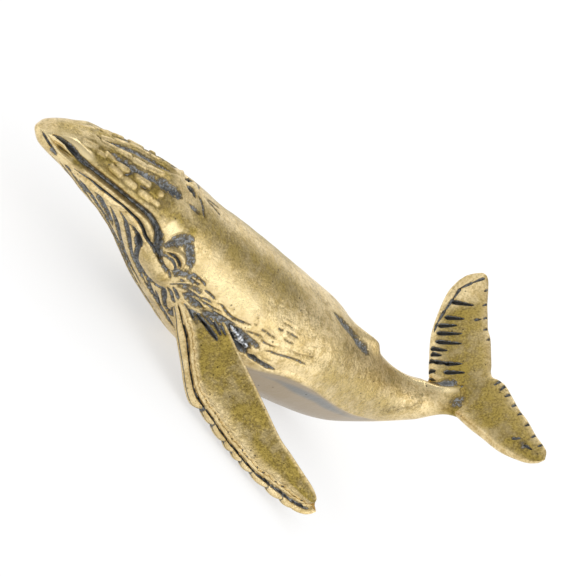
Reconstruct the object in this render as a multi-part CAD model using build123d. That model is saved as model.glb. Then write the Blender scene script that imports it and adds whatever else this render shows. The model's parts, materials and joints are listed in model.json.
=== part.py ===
from build123d import *
import os
from math import cos, degrees, pi, radians, sin

os.makedirs("parts", exist_ok=True)

# Frame: the whale swims towards -X, its left side faces -Y, and it stands on the plane Z = 0.
# Millimetres throughout. Lengths are named here, and the tables further down are shares of them.

# Body casting
nose_x = -46.66
body_length = 88.8
body_width = 19.74
back_height = 19.4
belly_ground = 0.35

# Lines carved in the wax of the body: mouth slit, groove below the lip, throat pleats
mouth_wire = 0.9
mouth_sink = 0.05
lip_wire = 0.5
pleat_wire = 0.45

# Forms raised on the head
eye_bead = 1.8
eye_rise = 0.3
knob_size = 1.3
knob_rise = 0.22
guard_length = 5.4
guard_width = 3.4
guard_height = 0.45
guard_root = 0.8
blowhole_length = 1.3
blowhole_width = 0.4
blowhole_depth = 0.9
blowhole_spacing = 1.5

# Dorsal fin
fin_length = 9.5
fin_width = 2.6
fin_height = 1.5
fin_root = 1.6

# Flippers, each cast with a round tenon
flipper_span = 32.9
flipper_chord = 8.4
flipper_edge = 2.8
flipper_trailing = 1.0
flipper_knob = 1.5
tenon_diameter = 2.2
tenon_length = 4.0
tenon_root = 0.6
tenon_clearance = 0.1

# Tail flukes, cast in one with a tapered root and a round tenon
fluke_span = 34.8
fluke_chord = 11.6
fluke_thickness = 1.9
fluke_root_width = 7.6
fluke_root_height = 5.6
fluke_lift = 3.4
fluke_ahead = 4.33
fluke_tenon_diameter = 2.4
fluke_tenon_length = 5.0

# Silver solder between the castings, and the pocket in the body for each flipper
solder_gap = 0.3
seat_depth = 0.55
seat_margin = 0.6
seat_tail_room = 1.6

# Angles in degrees
flipper_sweep = 58.9
flipper_droop = 9.1
flipper_tilt = 47.2
seat_turn = 8.0
joint_tilt = 35.0
fluke_pitch = 66.7
fluke_yaw = 8.7
blowhole_turn = 15.0

# One overrun serves every cut. The rim of a flipper's foot is measured in this many steps
overrun = 2.0
rim_steps = 48

# Stations along the body as shares of its length, with the half width as a share of half the
# body's width, and the back and belly as shares of the back's height above the ground
station_shares = [
    (0.002, 0.090, 0.650, 0.593),
    (0.015, 0.236, 0.704, 0.557),
    (0.050, 0.383, 0.796, 0.541),
    (0.090, 0.476, 0.866, 0.518),
    (0.130, 0.533, 0.916, 0.478),
    (0.185, 0.591, 0.966, 0.425),
    (0.240, 0.651, 0.998, 0.344),
    (0.300, 0.770, 1.000, 0.228),
    (0.370, 0.859, 0.980, 0.122),
    (0.450, 0.957, 0.982, 0.024),
    (0.530, 1.000, 0.973, -0.022),
    (0.610, 0.973, 0.966, -0.020),
    (0.680, 0.909, 0.960, 0.023),
    (0.735, 0.787, 0.922, 0.053),
    (0.790, 0.650, 0.880, 0.095),
    (0.830, 0.552, 0.854, 0.152),
    (0.870, 0.436, 0.845, 0.247),
    (0.910, 0.355, 0.874, 0.376),
    (0.945, 0.306, 0.948, 0.516),
    (0.972, 0.279, 1.015, 0.641),
    (1.000, 0.244, 1.074, 0.782),
]

# Carved lines on the left side: share along the body, and share of the way round the side
# from the middle of the back to the middle of the belly
mouth_shares = [
    (0.022, 0.25), (0.074, 0.335), (0.130, 0.36), (0.190, 0.385), (0.235, 0.42), (0.262, 0.50), (0.285, 0.55),
]
lip_shares = [(0.045, 0.50), (0.100, 0.495), (0.155, 0.50), (0.205, 0.515), (0.245, 0.54), (0.262, 0.57)]
pleat_shares = [
    [(0.190, 0.575), (0.235, 0.62), (0.280, 0.675), (0.330, 0.69), (0.380, 0.69)],
    [(0.150, 0.575), (0.200, 0.635), (0.255, 0.705), (0.320, 0.725), (0.400, 0.735)],
    [(0.110, 0.580), (0.165, 0.665), (0.230, 0.745), (0.310, 0.780), (0.420, 0.795)],
    [(0.070, 0.620), (0.130, 0.725), (0.200, 0.800), (0.300, 0.845), (0.440, 0.860)],
    [(0.045, 0.720), (0.110, 0.830), (0.190, 0.890), (0.300, 0.925), (0.460, 0.935)],
]

# Places of the raised forms, given in the same way
knob_shares = [
    (0.10, 0.24), (0.14, 0.25), (0.18, 0.26), (0.22, 0.28),
    (0.12, 0.36), (0.16, 0.37), (0.20, 0.39),
]
eye_share, eye_turn_share = 0.295, 0.47
guard_share = 0.238
blowhole_share = 0.248
fin_share = 0.755

# Rings of the fin and of the splash guard: height, length, width and lean towards the tail
fin_ring_shares = [(1.0, 1.0, 0.0), (0.72, 0.72, 0.08), (0.40, 0.42, 0.20), (0.12, 0.18, 0.30)]
fin_height_shares = [0.0, 0.6, 1.0]
guard_ring_shares = [1.0, 0.8, 0.4]

# Flipper outline: distance out along the span, leading and trailing edges as shares of the
# chord, and thickness as a share of the leading edge's
flipper_share, flipper_turn_share = 0.413, 0.53
flipper_shares = [
    (-0.18, -0.31, 0.08, 0.95),
    (-0.07, -0.27, 0.33, 1.00),
    (0.045, -0.42, 0.40, 1.00),
    (0.15, -0.63, 0.27, 1.00),
    (0.265, -0.79, 0.22, 1.00),
    (0.38, -0.78, 0.17, 0.97),
    (0.49, -0.74, 0.12, 0.94),
    (0.61, -0.69, 0.08, 0.90),
    (0.73, -0.60, 0.11, 0.85),
    (0.85, -0.47, 0.15, 0.80),
    (0.935, -0.31, 0.16, 0.72),
    (0.985, -0.15, 0.13, 0.60),
    (1.00, -0.05, 0.08, 0.45),
]
flipper_knob_shares = [0.32, 0.41, 0.50, 0.585, 0.665, 0.74, 0.81, 0.875, 0.93]
knob_sink_share = 0.28

# Fluke outline from the middle to a tip: place along the half span, leading and trailing edges
# as shares of the chord, and thickness
joint_share = 0.95
fluke_shares = [
    (0.03, -0.155, 0.600, 1.00),
    (0.115, -0.160, 0.645, 1.00),
    (0.23, -0.155, 0.690, 0.98),
    (0.345, -0.130, 0.730, 0.94),
    (0.50, -0.017, 0.780, 0.88),
    (0.66, 0.110, 0.830, 0.80),
    (0.775, 0.220, 0.880, 0.72),
    (0.89, 0.370, 0.930, 0.60),
    (0.96, 0.530, 0.970, 0.50),
    (1.00, 0.740, 0.980, 0.36),
]

# Rings of the fluke root beyond the joint: way ahead, lift, turn towards the flukes' pitch, width
# and height
fluke_root_shares = [
    (0.44, 0.10, 0.30, 0.80, 1.00),
    (0.85, 0.33, 0.65, 0.86, 0.86),
    (1.20, 0.88, 0.90, 0.95, 0.58),
    (1.56, 1.48, 1.00, 1.00, 0.22),
]


def place(share):
    """Distance along X of a share of the body's length."""
    return nose_x + share * body_length


def girth(share):
    """Half width, back height and belly height of the body at a share of its length.

    A cubic runs between neighbouring stations, with the slope of a station's two neighbours."""
    rows = station_shares
    last = len(rows) - 2
    k = max(0, min(last, sum(1 for row in rows if row[0] <= share) - 1))
    before, start, end, after = rows[max(k - 1, 0)], rows[k], rows[k + 1], rows[min(k + 2, last + 1)]
    step = end[0] - start[0]
    t = (share - start[0]) / step
    columns = ((1, body_width / 2, 0), (2, back_height, belly_ground), (3, back_height, belly_ground))
    values = []
    for column, scale, drop in columns:
        slope_in = (end[column] - before[column]) / (end[0] - before[0]) * step
        slope_out = (after[column] - start[column]) / (after[0] - start[0]) * step
        value = (
            (2 * t**3 - 3 * t**2 + 1) * start[column]
            + (t**3 - 2 * t**2 + t) * slope_in
            + (3 * t**2 - 2 * t**3) * end[column]
            + (t**3 - t**2) * slope_out
        )
        values.append(value * scale - drop)
    return values


def skin(share, turn_share, rise=0.0):
    """Point on the body's left side: turn_share runs from 0 on the back to 1 under the belly."""
    half_width, back, belly = girth(share)
    turn = pi * turn_share
    middle, half_height = (back + belly) / 2, (back - belly) / 2
    return Vector(
        place(share),
        -(half_width + rise) * sin(turn),
        middle + (half_height + rise) * cos(turn),
    )


def outward(share, turn_share):
    """Direction away from the body at a place on its left side."""
    half_width, back, belly = girth(share)
    turn = pi * turn_share
    return Vector(0, -sin(turn) / half_width, cos(turn) * 2 / (back - belly)).normalized()


def both_sides(solids):
    """A list of left-hand forms with their right-hand copies."""
    return solids + [mirror(solid, about=Plane.XZ) for solid in solids]


def half_space(plane):
    """Block that fills the side of a plane that its normal points to."""
    size = body_length * 2
    return plane * Box(size, size, size, align=(Align.CENTER, Align.CENTER, Align.MIN))


def rod(points, diameter):
    """Round bar along a smooth curve through points."""
    path = Spline(*points)
    return sweep(Plane(origin=path @ 0, z_dir=path % 0) * Circle(diameter / 2), path=path)


def body_shell():
    """The plain body: a loft through upright ovals."""
    rings = []
    for share in [row[0] for row in station_shares]:
        half_width, back, belly = girth(share)
        plane = Plane(origin=(place(share), 0, (back + belly) / 2), x_dir=(0, 1, 0), z_dir=(1, 0, 0))
        rings.append(plane * Ellipse(half_width, (back - belly) / 2))
    return loft(rings)


def dorsal_fin():
    """Low hooked fin: a loft through ovals that shrink and lean towards the tail."""
    top = girth(fin_share)[1]
    heights = [-fin_root] + [share * fin_height for share in fin_height_shares]
    rings = []
    for height, (length_share, width_share, lean_share) in zip(heights, fin_ring_shares):
        oval = Ellipse(fin_length * length_share / 2, fin_width * width_share / 2)
        rings.append(Pos(place(fin_share) + fin_length * lean_share, 0, top + height) * oval)
    return loft(rings)


def splash_guard():
    """Low mound round the blowholes."""
    top = girth(guard_share)[1]
    rings = []
    for height, spread_share in zip((-guard_root, 0, guard_height), guard_ring_shares):
        oval = Ellipse(guard_length * spread_share / 2, guard_width * spread_share / 2)
        rings.append(Pos(place(guard_share), 0, top + height) * oval)
    return loft(rings)


def blowholes():
    """Two short slits that spread towards the tail."""
    top = girth(blowhole_share)[1] + guard_height
    slit = Rot(0, 0, -blowhole_turn) * Box(blowhole_length, blowhole_width, blowhole_depth * 2)
    return both_sides([Pos(place(blowhole_share), -blowhole_spacing / 2, top) * slit])


def bead(share, turn_share, diameter, rise):
    """Ball sunk in the skin so that it stands proud by its rise."""
    centre = skin(share, turn_share, rise - diameter / 2)
    return Plane(origin=centre, z_dir=outward(share, turn_share)) * Sphere(diameter / 2)


def head_forms():
    """Eye beads and knobs on the snout."""
    forms = [bead(eye_share, eye_turn_share, eye_bead, eye_rise)]
    for share, turn_share in knob_shares:
        forms.append(bead(share, turn_share, knob_size, knob_rise))
    return both_sides(forms)


def carved(line_shares, sink, diameter):
    """Round bar half sunk in the skin along a smooth curve through places on it."""
    return rod([skin(share, turn_share, -sink) for share, turn_share in line_shares], diameter)


def carved_lines():
    """Mouth slit, groove below the lip and throat pleats."""
    bars = [carved(mouth_shares, mouth_sink, mouth_wire), carved(lip_shares, 0, lip_wire)]
    return both_sides(bars + [carved(line_shares, 0, pleat_wire) for line_shares in pleat_shares])


def flipper_frame():
    """Root point on the skin, with the directions out along the span, back along the chord
    and up from the blade."""
    sweep_angle, droop, tilt = radians(flipper_sweep), radians(flipper_droop), radians(flipper_tilt)
    span = Vector(sin(sweep_angle) * cos(droop), -cos(sweep_angle) * cos(droop), -sin(droop))
    level = Vector(cos(sweep_angle), sin(sweep_angle), 0)
    chord = level * cos(tilt) + span.cross(level) * sin(tilt)
    return skin(flipper_share, flipper_turn_share), span, chord, span.cross(chord)


def flipper_blade():
    """Blade: flat on top, thick along the leading edge, thin along the trailing edge, with a
    groove along the leading edge and a row of knobs under it."""
    root, span, chord, upper = flipper_frame()
    rings, knobs = [], []
    for span_share, lead_share, trail_share, edge_share in flipper_shares:
        lead, trail = lead_share * flipper_chord, trail_share * flipper_chord
        width = trail - lead
        edge = flipper_edge * edge_share
        thin = flipper_trailing * edge_share
        outline = [
            (lead + edge * 0.22, -edge * 0.42),
            (lead + edge * 0.10, -edge * 0.22),
            (lead + edge * 0.35, -edge * 0.03),
            (lead + width / 2, 0),
            (trail - width * 0.08, -thin * 0.1),
            (trail, -thin / 2),
            (trail - width * 0.08, -thin),
            (lead + width / 2, -(edge + thin) / 2),
            (lead + edge * 0.30, -edge * 0.97),
            (lead, -edge * 0.72),
        ]
        plane = Plane(origin=root + span * (span_share * flipper_span), x_dir=chord, z_dir=span)
        rings.append(plane * make_face(Spline(*outline, periodic=True)))
    blade = loft(rings)
    for knob_share in flipper_knob_shares:
        lead, edge = flipper_edge_at(knob_share)
        centre = root + span * (knob_share * flipper_span)
        centre += chord * (lead + flipper_knob * knob_sink_share) - upper * (edge - flipper_knob / 2)
        knobs.append(Plane(origin=centre, z_dir=span) * Sphere(flipper_knob / 2))
    return blade + knobs


def flipper_edge_at(share):
    """Place of the flipper's leading edge along the chord, and its thickness there."""
    rows = flipper_shares
    k = max(i for i in range(len(rows) - 1) if rows[i][0] <= share)
    t = (share - rows[k][0]) / (rows[k + 1][0] - rows[k][0])
    lead = rows[k][1] + t * (rows[k + 1][1] - rows[k][1])
    edge = rows[k][3] + t * (rows[k + 1][3] - rows[k][3])
    return lead * flipper_chord, edge * flipper_edge


def seat_frame():
    """Flat floor of the left flipper's pocket: its middle, the run along the body, the way out."""
    turn = radians(seat_turn)
    out = Vector(-sin(turn), -cos(turn), 0)
    along = flipper_frame()[3].cross(out)
    return Plane(origin=skin(flipper_share, flipper_turn_share, -seat_depth), x_dir=along, z_dir=out)


def joint_frame():
    """Cut across the tail where the flukes are set on, facing the way that the tail points."""
    back, belly = girth(joint_share)[1:]
    tilt = radians(joint_tilt)
    middle = Vector(place(joint_share), 0, (back + belly) / 2)
    return Plane(origin=middle, x_dir=(0, 1, 0), z_dir=(cos(tilt), 0, sin(tilt)))


def fluke_frame():
    """Middle of the flukes, with X along the chord to the trailing edge and Y to the right tip."""
    pitch = radians(fluke_pitch)
    joint = joint_frame()
    up = joint.z_dir.cross(Vector(0, 1, 0))
    middle = joint.origin + up * fluke_lift + joint.z_dir * fluke_ahead
    chord = Vector(cos(pitch), 0, sin(pitch)).rotate(Axis.Z, fluke_yaw)
    span = Vector(0, 1, 0).rotate(Axis.Z, fluke_yaw)
    return Plane(origin=middle, x_dir=chord, z_dir=chord.cross(span))


def fluke_blades():
    """Both flukes in one loft, from the left tip to the right, through flat ovals."""
    frame = fluke_frame()
    rings = []
    for side, rows in ((-1, fluke_shares[::-1]), (1, fluke_shares)):
        for span_share, lead_share, trail_share, thick_share in rows:
            middle = frame.origin + frame.y_dir * (side * span_share * fluke_span / 2)
            middle += frame.x_dir * ((lead_share + trail_share) * fluke_chord / 2)
            plane = Plane(origin=middle, x_dir=frame.x_dir, z_dir=frame.y_dir)
            half_chord = (trail_share - lead_share) * fluke_chord / 2
            rings.append(plane * Ellipse(half_chord, fluke_thickness * thick_share / 2))
    return loft(rings)


def fluke_root(cut):
    """Tapered root: from the tail's cut it narrows, bends upwards and sinks into the blades."""
    frame, joint = fluke_frame(), joint_frame()
    up = joint.z_dir.cross(Vector(0, 1, 0))
    rings = [cut]
    for ahead_share, lift_share, bend_share, width_share, height_share in fluke_root_shares:
        middle = joint.origin + joint.z_dir * (fluke_ahead * ahead_share) + up * (fluke_lift * lift_share)
        bend = radians(joint_tilt + (fluke_pitch - joint_tilt) * bend_share)
        across = frame.y_dir.cross(Vector(-sin(bend), 0, cos(bend)))
        plane = Plane(origin=middle, x_dir=frame.y_dir, z_dir=across)
        oval = Ellipse(fluke_root_width * width_share / 2, fluke_root_height * height_share / 2)
        rings.append(plane * oval)
    return loft(rings)


def peg(plane, diameter, depth, root):
    """Round tenon, or the hole for one, from a depth below a plane to a root above it."""
    return plane * (Pos(0, 0, (root - depth) / 2) * Cylinder(diameter / 2, depth + root))


# Body: the plain form, what is raised on it, and what is carved in it
plain_body = body_shell()
body = plain_body + dorsal_fin() + splash_guard() + head_forms()
body -= carved_lines() + blowholes()

# Left flipper: the blade is cut off a solder's thickness above the floor of its pocket, and its
# tenon stands in the middle of that foot
seat = seat_frame()
foot_plane = Plane(origin=seat.origin + seat.z_dir * solder_gap, x_dir=seat.x_dir, z_dir=seat.z_dir)
blade = flipper_blade() & half_space(foot_plane)
foot = blade.faces().sort_by(Axis(seat.origin, seat.z_dir))[0]
rim = [seat.to_local_coords(foot.outer_wire() @ (step / rim_steps)) for step in range(rim_steps)]
foot_left, foot_right = min(point.X for point in rim), max(point.X for point in rim)
foot_low, foot_high = min(point.Y for point in rim), max(point.Y for point in rim)
foot_middle = Vector((foot_left + foot_right) / 2, (foot_low + foot_high) / 2, 0)
foot_seat = Plane(origin=seat.from_local_coords(foot_middle), x_dir=seat.x_dir, z_dir=seat.z_dir)
tenon = peg(foot_seat, tenon_diameter, tenon_length, solder_gap + tenon_root)
left_flipper = blade + tenon

# Pocket round the foot, longer towards the tail, where the blade leaves the body at a slant
pocket_length = foot_right - foot_left + seat_margin * 2 + seat_tail_room
pocket_height = foot_high - foot_low + seat_margin * 2
pocket = extrude(SlotOverall(pocket_length, pocket_height), amount=seat_depth + overrun)
pocket = foot_seat * (Pos(seat_tail_room / 2, 0, 0) * pocket)
left_solder = (pocket & plain_body) - blade - tenon
tenon_hole = peg(foot_seat, tenon_diameter + tenon_clearance * 2, tenon_length + tenon_clearance, overrun)
body -= both_sides([pocket, tenon_hole])

# Tail: the body is cut square to the way that the tail points, and the flukes are set on there
joint = joint_frame()
root_plane = Plane(origin=joint.origin + joint.z_dir * solder_gap, x_dir=joint.x_dir, z_dir=joint.z_dir)
beyond = plain_body & half_space(joint)
fluke_tenon = peg(joint, fluke_tenon_diameter, fluke_tenon_length, solder_gap + tenon_root)
fluke_solder = beyond - half_space(root_plane) - fluke_tenon
root_cut = section(plain_body, section_by=root_plane)
tail_flukes = (fluke_blades() + fluke_root(root_cut)) & half_space(root_plane)
tail_flukes += fluke_tenon
body -= half_space(joint)
fluke_hole_diameter = fluke_tenon_diameter + tenon_clearance * 2
body -= peg(joint, fluke_hole_diameter, fluke_tenon_length + tenon_clearance, overrun)

# The belly and the lowest knobs are ground flat together, so that the casting stands firmly
below_ground = half_space(Plane(origin=(0, 0, 0), z_dir=(0, 0, -1)))
pieces = {
    "body_casting": body - below_ground,
    "left_flipper": left_flipper - below_ground,
    "right_flipper": mirror(left_flipper, about=Plane.XZ) - below_ground,
    "left_flipper_solder": left_solder,
    "right_flipper_solder": mirror(left_solder, about=Plane.XZ),
    "tail_flukes": tail_flukes,
    "tail_flukes_solder": fluke_solder,
}
for name, piece in pieces.items():
    piece.label = name
    export_step(piece, f"parts/{name}.step")
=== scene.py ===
import json
import math

import bpy
import numpy as np
from mathutils import Matrix, Vector

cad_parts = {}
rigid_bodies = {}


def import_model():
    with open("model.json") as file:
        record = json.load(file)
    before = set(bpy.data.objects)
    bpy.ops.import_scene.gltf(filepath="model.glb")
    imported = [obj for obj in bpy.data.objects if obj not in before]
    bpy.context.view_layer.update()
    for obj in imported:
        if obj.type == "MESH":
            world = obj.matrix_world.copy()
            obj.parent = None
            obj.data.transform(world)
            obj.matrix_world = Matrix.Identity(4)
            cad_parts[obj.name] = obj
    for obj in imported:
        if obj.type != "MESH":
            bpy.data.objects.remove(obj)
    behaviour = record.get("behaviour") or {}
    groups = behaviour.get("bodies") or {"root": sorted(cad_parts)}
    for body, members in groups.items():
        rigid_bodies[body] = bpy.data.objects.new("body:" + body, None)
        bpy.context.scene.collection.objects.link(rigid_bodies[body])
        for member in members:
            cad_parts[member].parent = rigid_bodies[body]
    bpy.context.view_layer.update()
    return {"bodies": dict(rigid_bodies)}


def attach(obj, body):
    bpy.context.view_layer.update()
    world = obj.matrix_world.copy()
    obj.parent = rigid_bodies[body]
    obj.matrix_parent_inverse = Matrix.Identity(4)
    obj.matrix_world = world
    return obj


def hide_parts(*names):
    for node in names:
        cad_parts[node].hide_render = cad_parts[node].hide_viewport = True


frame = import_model()
whale = list(frame["bodies"])[0]
MM = 0.001


# Camera: it looks down on the whale's left side from ahead, and is rolled so that the snout
# points to the upper left. Millimetres are used throughout and turned to metres in the meshes.
view_right = np.array([0.596, -0.176, 0.783])
view_back = np.array([-0.653, -0.674, 0.345])
view_back /= np.linalg.norm(view_back)
view_right -= view_back * (view_right @ view_back)
view_right /= np.linalg.norm(view_right)
view_up = np.cross(view_back, view_right)
view_target = np.array([3.49, 0, 15.9])
view_distance = 420
sensor = 36
image_width, pixels_per_mm = 576, 7
frame_width = image_width / pixels_per_mm

camera = bpy.data.objects.new("camera", bpy.data.cameras.new("camera"))
camera.data.sensor_width = sensor
camera.data.lens = sensor * view_distance / frame_width
camera.data.clip_start = 0.01
camera_place = Matrix.Identity(4)
for column, axis in enumerate((view_right, view_up, view_back)):
    for row in range(3):
        camera_place[row][column] = axis[row]
camera_place.translation = Vector((view_target + view_back * view_distance) * MM)
camera.matrix_world = camera_place
bpy.context.scene.collection.objects.link(camera)
bpy.context.scene.camera = camera


# Body casting: head, trunk and tail stock in one solid brass casting from a carved wax. The
# mouth, throat pleats, knobs, eye, blowholes, wrinkles and dorsal fin were worked in the wax;
# the metal was then darkened all over and rubbed bright again on the high places.
nose_x, body_length, body_width, back_height, belly_ground = -46.66, 88.8, 19.74, 19.4, 0.35
# Each row: share of the length from the snout, share of the width, and the heights of back and
# belly as shares of the back's greatest height. The body is then lowered by belly_ground
station_shares = np.array([
    (0.002, 0.09, 0.65, 0.593), (0.015, 0.236, 0.704, 0.557), (0.05, 0.383, 0.796, 0.541),
    (0.09, 0.476, 0.866, 0.518), (0.13, 0.533, 0.916, 0.478), (0.185, 0.591, 0.966, 0.425),
    (0.24, 0.651, 0.998, 0.344), (0.3, 0.77, 1, 0.228), (0.37, 0.859, 0.98, 0.122),
    (0.45, 0.957, 0.982, 0.024), (0.53, 1, 0.973, -0.022), (0.61, 0.973, 0.966, -0.02),
    (0.68, 0.909, 0.96, 0.023), (0.735, 0.787, 0.922, 0.053), (0.79, 0.65, 0.88, 0.095),
    (0.83, 0.552, 0.854, 0.152), (0.87, 0.436, 0.845, 0.247), (0.91, 0.355, 0.874, 0.376),
    (0.945, 0.306, 0.948, 0.516), (0.972, 0.279, 1.015, 0.641), (1, 0.244, 1.074, 0.782),
])


def smooth(table, at):
    """Values of a table at places along its first column.

    Between two rows a cubic runs whose slope at each row is that of the line through the rows
    before and after it."""
    table = np.asarray(table, float)
    rows, values = table[:, 0], table[:, 1:]
    at = np.asarray(at, float)
    start = np.clip(np.searchsorted(rows, at, side="right") - 1, 0, len(rows) - 2)
    end = start + 1
    before, after = np.maximum(start - 1, 0), np.minimum(start + 2, len(rows) - 1)
    step = (rows[end] - rows[start])[..., None]
    t = (at[..., None] - rows[start][..., None]) / step
    slope_in = (values[end] - values[before]) / (rows[end] - rows[before])[..., None] * step
    slope_out = (values[after] - values[start]) / (rows[after] - rows[start])[..., None] * step
    return (
        (2 * t**3 - 3 * t**2 + 1) * values[start]
        + (t**3 - 2 * t**2 + t) * slope_in
        + (3 * t**2 - 2 * t**3) * values[end]
        + (t**3 - t**2) * slope_out
    )


def curve(table, at):
    """The smooth curve through a table of two columns."""
    return smooth(table, at)[..., 0]


def within(values):
    """Values kept within 0 and 1."""
    return np.clip(values, 0, 1)


def skin(share, turn):
    """Plain body: upright ovals along X.

    x = nose + share * length, y = -half width * sin(pi * turn),
    z = middle + half height * cos(pi * turn), with turn 0 on the back and 1 under the belly."""
    share, turn = np.broadcast_arrays(np.asarray(share, float), np.asarray(turn, float))
    width, back, belly = np.moveaxis(smooth(station_shares, share), -1, 0)
    half_width = width * body_width / 2
    back, belly = back * back_height - belly_ground, belly * back_height - belly_ground
    angle = math.pi * turn
    return np.stack([
        nose_x + share * body_length,
        -half_width * np.sin(angle),
        (back + belly) / 2 + (back - belly) / 2 * np.cos(angle),
    ], -1)


def unit(vectors):
    """Vectors brought to length 1."""
    return vectors / np.maximum(np.linalg.norm(vectors, axis=-1, keepdims=True), 1e-12)


def climb(values, start, width):
    """(value - start) / width, kept within 0 and 1. With a negative width it falls to the start."""
    return within((values - start) / width)


def hump(values, middle, width):
    """Bell of height 1: e to the power of -((value - middle) / width)^2."""
    return np.exp(-((values - middle) / width) ** 2)


def out_of_skin(share, turn):
    """Outward normal of the plain body: the cross product of its two directions."""
    near = 0.0008
    along = skin(share + near, turn) - skin(share - near, turn)
    around = skin(share, turn + near) - skin(share, turn - near)
    return unit(np.cross(around, along))


# The grid is closest on the head. Its last rows lean over to the cut where the flukes are set on
joint_share, joint_tilt = 0.95, math.radians(35)
joint_middle = np.array([nose_x + joint_share * body_length, 0, 0])
joint_middle[2] = skin(joint_share, np.array([0, 1]))[:, 2].mean()
joint_out = np.array([math.cos(joint_tilt), 0, math.sin(joint_tilt)])
joint_up = np.array([-math.sin(joint_tilt), 0, math.cos(joint_tilt)])


def share_at_cut(turn, offset):
    """Share along the body at which the skin meets a plane beyond the tail's cut."""
    shares = np.linspace(0.8, 1, 801)[:, None]
    gone = (skin(shares, turn[None, :]) - joint_middle) @ joint_out - offset
    first = np.argmax(gone > 0, axis=0)
    columns = np.arange(len(turn))
    low, high = gone[first - 1, columns], gone[first, columns]
    return shares[first - 1, 0] - low / (high - low) * (shares[1, 0] - shares[0, 0])


left_turn = np.linspace(0, 1, 181)
head_share, flank_share = 0.345, 0.62
head_rows = np.linspace(0.002, head_share, 260)
flank_rows = np.linspace(head_share, flank_share, 170)
rear_rows = np.linspace(flank_share, joint_share, 150)
row_shares = np.concatenate([head_rows, flank_rows[1:], rear_rows[1:]])
lean = climb(row_shares, flank_share, joint_share - flank_share)
lean = lean * lean * (3 - 2 * lean)
share = row_shares[:, None] + lean[:, None] * (share_at_cut(left_turn, 0) - joint_share)[None, :]
turn = np.broadcast_to(left_turn, share.shape)
plain = skin(share, turn)
normal = out_of_skin(share, turn)
# Three layers on the skin, which the strokes below work on in place: height over the plain body in
# millimetres, patina from -1, rubbed bright, to 2, nearly black, and olive from 0 to 1
height, patina, olive = np.zeros((3, *share.shape))


def nearness(line, width, taper=0.2, steps=36):
    """How near each point of the skin is to a line drawn on it.

    The line is a list of places (share, turn) in thousandths, with a smooth curve through them.
    With d the distance in millimetres and w the width there, it is (1 - d^2 / w^2)^2: 1 on the
    line and 0 beyond the width. Over the taper's share of the line the width shrinks towards both
    ends to about a third, and the value to a quarter."""
    line = np.array(line, float) / 1000
    stops = np.linspace(0, 1, len(line))
    dense = smooth(np.column_stack([stops, line]), np.linspace(0, 1, steps + 1))
    spots = skin(dense[:, 0], dense[:, 1])
    low, high = spots.min(0) - width, spots.max(0) + width
    inside = np.all((plain > low) & (plain < high), axis=-1)
    points = plain[inside]
    best, along = np.full(len(points), 1e9), np.zeros(len(points))
    for k in range(steps):
        run = spots[k + 1] - spots[k]
        t = within((points - spots[k]) @ run / max(run @ run, 1e-9))
        distance = np.linalg.norm(points - spots[k] - t[:, None] * run, axis=1)
        closer = distance < best
        best = np.where(closer, distance, best)
        along = np.where(closer, (k + t) / steps, along)
    ends = within(np.minimum(along, 1 - along) / taper) if taper else 1
    reach = width * (0.35 + 0.65 * ends)
    near = np.zeros(share.shape)
    near[inside] = within(1 - (best / reach) ** 2) ** 2 * (0.25 + 0.75 * ends)
    return near


def carve(line, width, depth, dark=1, taper=0.2):
    """Cuts a groove in the skin and darkens it: 1 is grey, 2 nearly black."""
    near = nearness(line, width, taper)
    height[...] -= depth * near
    np.maximum(patina, dark * near**0.7, out=patina)


def swell(line, width, rise, rub=0.6, taper=0.2):
    """Raises a ridge on the skin and rubs it bright, down to a patina of -1."""
    near = nearness(line, width, taper)
    height[...] += rise * near
    rubbed = rub * within(near * 1.5)
    patina[...] = patina * (1 - rubbed) - rubbed


def bead(line, radius, rise, ring=0.6):
    """A round or long knob, rather flat on top, with a darkened ring at its foot."""
    foot, head = nearness(line, radius * 1.7, 0, 6), nearness(line, radius, 0, 6)
    height[...] += rise * (0.6 * np.sqrt(head) + 0.4 * within(head * 2.5))
    height[...] -= 0.1 * within(foot * 2)
    np.maximum(patina, ring * within(foot * 1.6), out=patina)
    rubbed = within(head * 1.6)
    patina[...] = patina * (1 - rubbed) - 0.35 * rubbed
    olive[...] *= 1 - 0.8 * rubbed


def stain(line, width, dark):
    """Darkens a stretch of the skin without a groove."""
    np.maximum(patina, dark * nearness(line, width, 0.15), out=patina)


def wrinkle(line, width, depth, dark):
    """A groove with a low ridge pushed up along its upper side."""
    carve(line, width, depth, dark)
    swell([(along, around - 13) for along, around in line], width, depth * 0.7, 0.35)


def tint(line, width, amount):
    """Leaves a stretch of the skin less polished and olive; the olive also paints darker reflections and
    shade.
    """
    np.maximum(olive, amount * nearness(line, width, 0.1), out=olive)


# Olive places, partly missed by the polishing and partly painted darker reflections: the snout's middle,
# the back behind the blowholes and the upper flank; along the rear of the trunk it also paints shade
tint([(50, 120), (100, 170), (160, 220), (215, 250), (245, 250)], 4.6, 1)
tint([(90, -50), (160, -20), (240, 40)], 3.5, 0.8)
tint([(20, 60), (40, 50), (70, 80)], 2.4, 0.6)
tint([(270, 180), (310, 160), (360, 150), (420, 140), (500, 120), (580, 100)], 4.2, 0.85)
tint([(400, 240), (480, 220), (550, 200)], 4, 0.4)
tint([(185, 276), (213, 290), (241, 288), (273, 272), (307, 257)], 2.4, 1)
tint([(660, 320), (740, 350), (820, 380), (920, 420)], 6.5, 0.55)
tint([(489, 140), (531, 149), (563, 179)], 3, 0.45)
tint([(837, 137), (865, 140)], 1.2, 0.6)

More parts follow.
